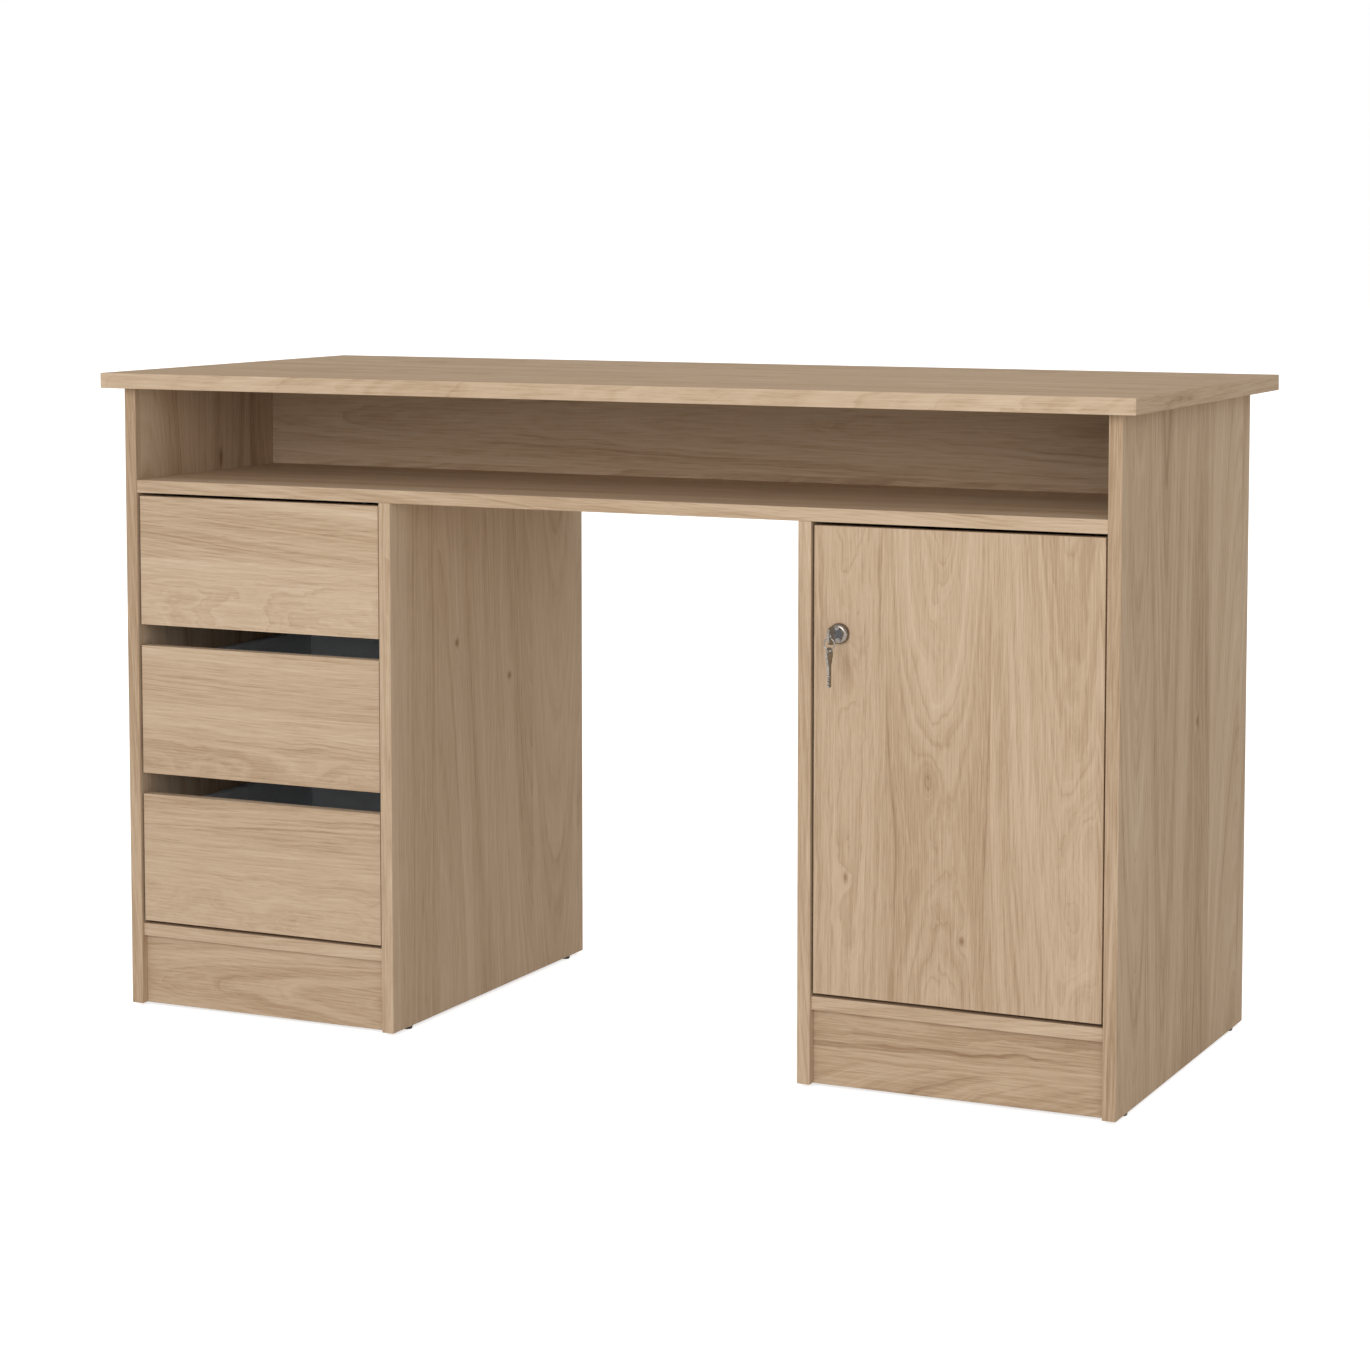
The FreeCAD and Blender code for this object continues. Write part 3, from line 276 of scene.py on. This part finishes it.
# Ring lines: their spacing, how sharply they darken, how they waver, and where they show
RING_SPACING = 0.0052
RING_SHARPNESS = 4.0
RING_WAVER = Layer(0.5, 80.0, 0.006)
RING_SHOWING = Layer(2.2, 60.0, 0.15, start=9.0)
RING_SHOWING_RAMP = (0.40, 0.62)

# The cores of eyes: how small against the eye, and how dark
CORE_SHARPNESS = 7.0
CORE_WEIGHT = 0.75

# The tone runs from 0, dark, to 1, pale
MEAN_TONE = 0.53
OAK_COLOURS = (
    (0.0, (148, 120, 94)),
    (0.3, (175, 149, 122)),
    (0.5, (191, 166, 139)),
    (0.72, (201, 178, 152)),
    (1.0, (213, 192, 167)),
)
OAK_ROUGHNESS = 0.68
PORE_ROUGHNESS = 0.12
FIBRE_ROUGHNESS = 0.10
OAK_SPECULAR = 0.01
OAK_DEPTH = 0.00012
OAK_STRENGTH = 0.5
FIBRE_RELIEF = 0.4
RING_RELIEF = 0.5


def oak(name, board):
    """Printed oak: staves of growth rings about a heart, with fibres, pores, dark streaks and eyes."""
    material, tree, shader = start_material(f"oak_{name}")
    place = surface(tree, "Object")
    facing = surface(tree, "Normal")
    long_axis, cross_axis, thin_axis = board.axes
    along, across, through = place[long_axis], place[cross_axis], place[thin_axis]
    end = facing[long_axis].do("ABSOLUTE").do("GREATER_THAN", SQUARE_ON)
    edge = facing[thin_axis].do("ABSOLUTE").do("LESS_THAN", SQUARE_ON)
    # An edge band has its own figure, and on a board's end its grain runs along the edge
    u = along + (across - along) * end
    v = across + through * edge + (through - across) * end + edge * BAND_SHIFT

    # The main stave holds the heart, and each stave beside it has a random one
    stave = ((v - board.heart) / STAVE_WIDTH + HALF).do("FLOOR")
    beside = stave.do("ABSOLUTE").do("MINIMUM", 1.0)
    first, second, third = chance(tree, stave + board.seed * BOARD_STEP)
    own = first * STAVE_SPREAD + board.seed * BOARD_SPREAD

    def layer(kind, measure):
        """A layer from 0 to 1, along the grain and across some measure of it."""
        point = (u * kind.along, measure * kind.across, own + kind.start)
        return noise(tree, point, kind.octaves, kind.gain)

    # Rings are cut flat near the heart, where they ripple, and close into eyes
    bent = v + (layer(WANDER, v) - HALF) * WANDER.weight
    scatter = (second - HALF) * beside * (STAVE_WIDTH * HEART_SCATTER)
    from_heart = bent - board.heart - stave * STAVE_WIDTH - scatter
    heart_depth = third * HEART_DEPTH_RANGE + HEART_LEAST_DEPTH
    taper = (first - HALF) * TAPER_RANGE * beside - (beside - 1.0) * board.taper
    round_heart = (from_heart * from_heart + heart_depth * heart_depth).do("SQRT")
    flatness = (heart_depth / round_heart).do("POWER", 2.0)
    ripple = (layer(RIPPLE, v) - HALF) * flatness * (board.curl * RIPPLE.weight)
    rings = round_heart - u * taper + ripple
    cores = []
    for eye in board.eyes:
        du = (u - eye.along) / eye.length
        dv = (v - eye.across) / eye.width
        away = du * du + dv * dv
        rings = rings + (away * -1.0).do("EXPONENT") * eye.lift
        if eye.core:
            cores.append((away * -CORE_SHARPNESS).do("EXPONENT") * eye.core)

    waver = noise(tree, (rings * RING_WAVER.across, u * RING_WAVER.along, own)) * RING_WAVER.weight
    line = ((rings + waver) / RING_SPACING).do("FRACT").do("POWER", RING_SHARPNESS)
    ring_lines = line * layer(RING_SHOWING, rings).ramped(*RING_SHOWING_RAMP)
    streaks = layer(STREAKS, rings).ramped(*STREAKS_RAMP)
    pores = layer(PORES, bent).ramped(*PORES_RAMP)
    fibres = layer(FIBRES, bent) - HALF

    tone = (layer(BROAD, rings) - HALF) * (BROAD.weight * board.broad) + fibres * FIBRES.weight
    for kind, measure in ((BANDS, rings), (LINES, rings), (DASHES, bent)):
        tone = tone + (layer(kind, measure) - HALF) * kind.weight
    tone = tone - ring_lines * RING_SHOWING.weight - streaks * STREAKS.weight - pores * PORES.weight
    tone = tone + (third - HALF) * STAVE_TONE_RANGE
    # Faces take the board's painted light (shade above 0) or painted shade (shade below 0); edge bands take
    # their own tone.
    tone = tone - (edge - 1.0) * board.shade + edge * board.band + MEAN_TONE
    for core in cores:
        tone = tone - core * CORE_WEIGHT

    paint(tree, shader, tone, OAK_COLOURS)
    roughness = pores * PORE_ROUGHNESS + fibres * FIBRE_ROUGHNESS + OAK_ROUGHNESS
    feed(tree, shader.inputs["Roughness"], roughness)
    shader.inputs["Specular IOR Level"].default_value = OAK_SPECULAR
    height = fibres * FIBRE_RELIEF - pores - ring_lines * RING_RELIEF
    emboss(tree, shader, height, OAK_DEPTH, OAK_STRENGTH)
    return material


# Other finishes

# A noise in a finish: how often it repeats in a metre along x, y and z, how strongly it counts in the colour,
# the roughness and the height of the surface, its octaves, and how much each counts against the one before
Speckle = namedtuple("Speckle", "scales colour dulling relief octaves gain", defaults=(0.0, 0.0, 0.0, 2.0, 0.5))
# A finish: its colours from low to high noise, its noises, its roughness where they are nothing, the depth and
# the strength of its relief, how metallic it is, and its specular level
Finish = namedtuple("Finish", "name stops speckles roughness depth strength metallic specular",
                    defaults=(0.0, 0.5))

# Light grey foil on the drawer boxes, with a faint pressed grain
FOIL = Finish(
    "grey_foil", roughness=0.38, depth=0.0001, strength=0.35, specular=0.4,
    stops=((0.3, (190, 193, 196)), (0.5, (200, 203, 206)), (0.7, (209, 212, 214))),
    speckles=(
        Speckle((900.0, 60.0, 900.0), colour=0.6, dulling=0.2, relief=1.0),
        Speckle((9.0, 9.0, 9.0), colour=0.4),
    ),
)

# Thin hardboard with a pale wood print: fibres lying every way under a lacquer
FIBREBOARD = Finish(
    "fibreboard", roughness=0.45, depth=0.0002, strength=0.3,
    stops=((0.3, (160, 134, 104)), (0.5, (180, 155, 124)), (0.7, (196, 172, 142))),
    speckles=(
        Speckle((70.0, 70.0, 70.0), colour=0.5, dulling=0.3, relief=1.0, octaves=5.0, gain=0.7),
        Speckle((160.0, 160.0, 3.0), colour=0.5),
    ),
)

# Turned beech of the dowels, with its short flecks
BEECH = Finish(
    "beech", roughness=0.5, depth=0.0001, strength=0.4,
    stops=((0.35, (176, 132, 92)), (0.5, (199, 156, 112)), (0.65, (212, 172, 130))),
    speckles=(Speckle((500.0, 500.0, 500.0), colour=1.0, dulling=0.3, relief=1.0, octaves=3.0),),
)

# Bare or plated metal, by slot or node: its colour, its mean roughness, how often the mottle of its plating
# repeats in a metre, and the depth of its relief
Metal = namedtuple("Metal", "name colour roughness mottle depth")
METALS = {
    "steel": Metal("zinc_plate", (186, 188, 190), 0.34, 240.0, 0.00004),
    "zinc": Metal("die_cast", (160, 161, 163), 0.46, 420.0, 0.00008),
    "hinge_steel": Metal("hinge_nickel", (196, 195, 192), 0.26, 180.0, 0.00003),
    # The lock's nickel is darker and browner than bare nickel: a painted reflection of the oak and of dark
    # surroundings.
    "nickel": Metal("lock_nickel_painted_reflection", (139, 130, 122), 0.16, 260.0, 0.00002),
    # The plug is darker and bluer than the rosette: painted shade of its keyway.
    "lock_plug": Metal("plug_nickel_painted_shade", (126, 128, 134), 0.20, 260.0, 0.00002),
    # The key's nickel is darkened too: a painted dark reflection.
    "key_metal": Metal("key_nickel_painted_reflection", (150, 147, 142), 0.22, 320.0, 0.00003),
}
METAL_SHADE = 0.86
METAL_PLACES = (0.3, 0.6)
METAL_STRENGTH = 0.25
SCRATCHES = Speckle((2600.0, 2600.0, 260.0), dulling=0.12, relief=0.5)

# Moulded plastic or baked powder, by slot: its colour, its mean roughness, how often its orange peel repeats in
# a metre, and the depth of the peel
Coating = namedtuple("Coating", "name colour roughness peel depth")
COATINGS = {
    "rail_steel": Coating("white_epoxy", (222, 222, 219), 0.38, 900.0, 0.00006),
    "nylon": Coating("nylon", (226, 224, 216), 0.42, 1400.0, 0.00004),
    "glide_plastic": Coating("glide_plastic", (42, 36, 31), 0.55, 1200.0, 0.00006),
}
COATING_SHADE = 0.93
COATING_PLACES = (0.35, 0.6)
COATING_STRENGTH = 0.4
DUST = Speckle((60.0, 60.0, 60.0), colour=1.0, dulling=0.2, octaves=4.0)


def shaded(colour, shade, places):
    """Colour stops from a darker colour to the colour itself."""
    darker = tuple(part * shade for part in colour)
    return tuple(zip(places, (darker, colour)))


def least_roughness(mean, speckles):
    """The roughness where the noises are nothing, for a mean roughness."""
    return mean - HALF * sum(speckle.dulling for speckle in speckles)


def metal(row):
    """The finish of a metal: mottled by its plating, with fine scratches."""
    mottle = Speckle((row.mottle,) * 3, colour=1.0, dulling=0.2, relief=0.5, octaves=4.0)
    speckles = (mottle, SCRATCHES)
    stops = shaded(row.colour, METAL_SHADE, METAL_PLACES)
    roughness = least_roughness(row.roughness, speckles)
    return Finish(row.name, stops, speckles, roughness, row.depth, METAL_STRENGTH, metallic=1.0)


def coating(row):
    """The finish of a coating: a slight orange peel, and a sheen that dust makes uneven."""
    peel = Speckle((row.peel,) * 3, relief=1.0)
    speckles = (peel, DUST)
    stops = shaded(row.colour, COATING_SHADE, COATING_PLACES)
    roughness = least_roughness(row.roughness, speckles)
    return Finish(row.name, stops, speckles, roughness, row.depth, COATING_STRENGTH)


def mixed(fields, weights):
    """The weighted sum of some fields, without those that don't count."""
    first, *others = [field * weight for field, weight in zip(fields, weights) if weight]
    return sum(others, first)


def speckled(finish):
    """A material whose colour, roughness and relief follow the noises of its finish."""
    material, tree, shader = start_material(finish.name)
    place = surface(tree, "Object")
    fields = []
    for speckle in finish.speckles:
        point = [place[axis] * scale for axis, scale in zip("XYZ", speckle.scales)]
        fields.append(noise(tree, point, speckle.octaves, speckle.gain))
    paint(tree, shader, mixed(fields, [speckle.colour for speckle in finish.speckles]), finish.stops)
    roughness = mixed(fields, [speckle.dulling for speckle in finish.speckles]) + finish.roughness
    feed(tree, shader.inputs["Roughness"], roughness)
    shader.inputs["Metallic"].default_value = finish.metallic
    shader.inputs["Specular IOR Level"].default_value = finish.specular
    height = mixed(fields, [speckle.relief for speckle in finish.speckles])
    emboss(tree, shader, height, finish.depth, finish.strength)
    return material


def dress():
    """Gives every node its finish: a board its own oak, any other node its own finish or that of its slot."""
    finishes = {"drawer_board": FOIL, "hardboard": FIBREBOARD, "beech": BEECH}
    finishes.update({slot: metal(row) for slot, row in METALS.items()})
    finishes.update({slot: coating(row) for slot, row in COATINGS.items()})
    materials = {slot: speckled(finish) for slot, finish in finishes.items()}
    for part in frame["record"]["subparts"]:
        name = part["node"]
        if name in BOARDS:
            material = oak(name, BOARDS[name])
        elif name in materials:
            material = materials[name]
        else:
            material = materials[part["material_slot"]]
        frame["nodes"][name].material_slots[0].material = material


# Studio


def seen_directly(tree):
    """1 for rays that reach the camera at once or through a reflection or clear matter, else 0."""
    path = tree.nodes.new("ShaderNodeLightPath")
    kinds = [Field(tree, path.outputs[f"Is {kind} Ray"]) for kind in ("Camera", "Glossy", "Transmission")]
    return kinds[0].do("MAXIMUM", kinds[1]).do("MAXIMUM", kinds[2])


def surround():
    """An even light from all around, which shows as plain white."""
    world = bpy.data.worlds.new("surround")
    world.use_nodes = True
    tree = world.node_tree
    background = tree.nodes["Background"]
    background.inputs["Color"].default_value = WHITE
    strength = seen_directly(tree) * (1.0 - SURROUND_STRENGTH) + SURROUND_STRENGTH
    feed(tree, background.inputs["Strength"], strength)
    bpy.context.scene.world = world


def floor():
    """A pale floor that is near white in the picture and keeps the desk's shadow."""
    bpy.ops.mesh.primitive_plane_add(size=FLOOR_SIZE)
    plane = bpy.context.object
    plane.name = "floor"
    material, tree, shader = start_material("floor")
    shader.inputs["Base Color"].default_value = FLOOR_COLOUR
    shader.inputs["Roughness"].default_value = 1.0
    shader.inputs["Specular IOR Level"].default_value = 0.0
    shader.inputs["Emission Color"].default_value = WHITE
    feed(tree, shader.inputs["Emission Strength"], seen_directly(tree) * FLOOR_GLOW)
    plane.data.materials.append(material)


def aim(item, place, target):
    """Puts a lamp at a place and turns it to a target."""
    away = [end - start for start, end in zip(place, target)]
    level = math.hypot(away[0], away[1])
    item.location = place
    item.rotation_euler = (math.atan2(level, -away[2]), 0.0, math.atan2(-away[0], away[1]))


def lamps():
    """Large round lamps, for soft shadows."""
    for lamp in LAMPS:
        light = bpy.data.lights.new(lamp.name, "AREA")
        light.shape = "DISK"
        light.size = lamp.size
        light.energy = lamp.power
        item = bpy.data.objects.new(lamp.name, light)
        aim(item, lamp.place, LAMP_AIM)
        bpy.context.scene.collection.objects.link(item)


def camera():
    """The photograph's view: nearly level, with the frame shifted down to the desk."""
    lens = bpy.data.cameras.new("camera")
    lens.sensor_width = SENSOR
    lens.lens = SENSOR * FOCAL_PIXELS / PHOTO_WIDTH
    lens.shift_y = CAMERA_SHIFT
    item = bpy.data.objects.new("camera", lens)
    item.location = CAMERA_PLACE
    item.rotation_euler = (math.radians(LEVEL - CAMERA_DOWN), 0.0, math.radians(CAMERA_YAW))
    bpy.context.scene.collection.objects.link(item)
    bpy.context.scene.camera = item


dress()
surround()
floor()
lamps()
camera()
bpy.context.scene.view_settings.view_transform = "Standard"
